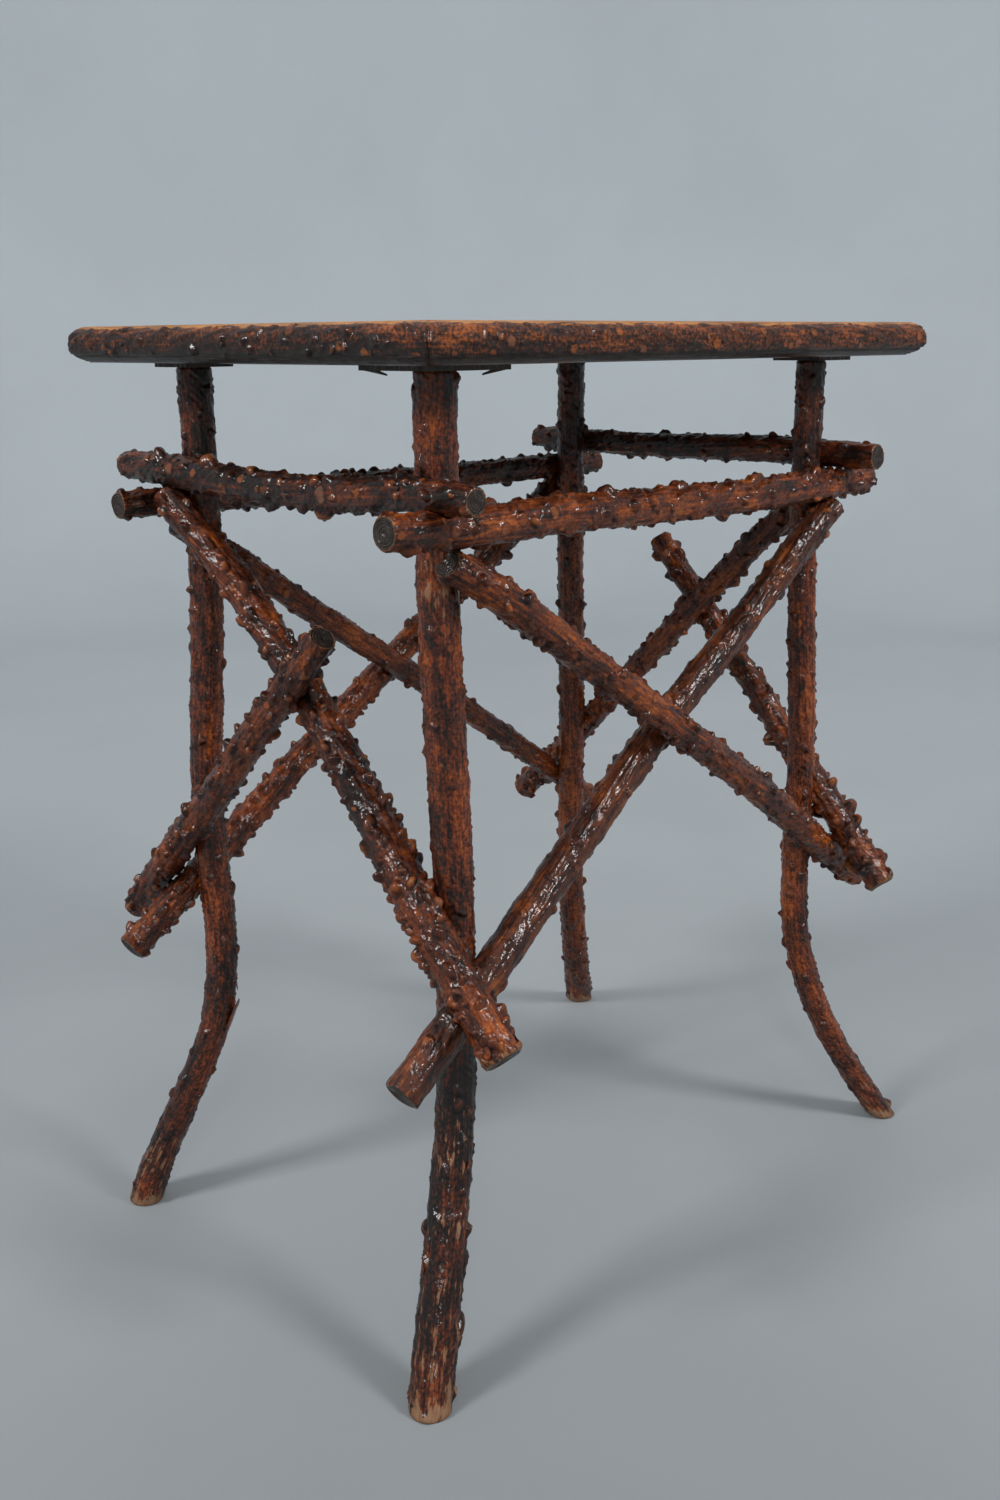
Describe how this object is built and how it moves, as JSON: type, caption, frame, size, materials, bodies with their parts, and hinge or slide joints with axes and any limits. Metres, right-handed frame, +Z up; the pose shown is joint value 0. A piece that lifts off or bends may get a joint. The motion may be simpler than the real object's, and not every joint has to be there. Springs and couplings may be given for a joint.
{
  "type": "twig side table",
  "caption": "Rustic side table of bark-covered branches: plank top edged with half-round branch, splayed crooked legs, nailed twig rails and crossed twig braces on every side.",
  "frame": {"origin": "on the floor, under the middle of the top", "axes": "+Z up, +X along the long side of the top, -Y the front"},
  "size_m": [0.5884, 0.4423, 0.7],
  "materials": {
    "leg_bark": "varnished bark",
    "twig_bark": "varnished bark",
    "edging_bark": "varnished bark",
    "plank_wood": "varnished",
    "plate_wood": "dark stain",
    "nail_steel": "blackened",
    "screw_steel": "dull"
  },
  "bodies": {
    "root": {"front_left_leg": "leg_bark", "front_right_leg": "leg_bark", "back_left_leg": "leg_bark", "back_right_leg": "leg_bark", "front_rail": "twig_bark", "back_rail": "twig_bark", "left_rail": "twig_bark", "right_rail": "twig_bark", "front_outer_brace": "twig_bark", "front_inner_brace": "twig_bark", "back_outer_brace": "twig_bark", "back_inner_brace": "twig_bark", "left_long_brace": "twig_bark", "left_short_brace": "twig_bark", "right_long_brace": "twig_bark", "right_short_brace": "twig_bark", "front_edging": "edging_bark", "back_edging": "edging_bark", "left_edging": "edging_bark", "right_edging": "edging_bark", "front_plank": "plank_wood", "middle_plank": "plank_wood", "back_plank": "plank_wood", "front_left_leg_plate": "plate_wood", "front_right_leg_plate": "plate_wood", "back_left_leg_plate": "plate_wood", "back_right_leg_plate": "plate_wood", "rail_nails": "nail_steel", "brace_nails": "nail_steel", "crossing_nails": "nail_steel", "edging_nails": "nail_steel", "plate_screws": "screw_steel", "leg_screws": "screw_steel"}
  },
  "joints": []
}
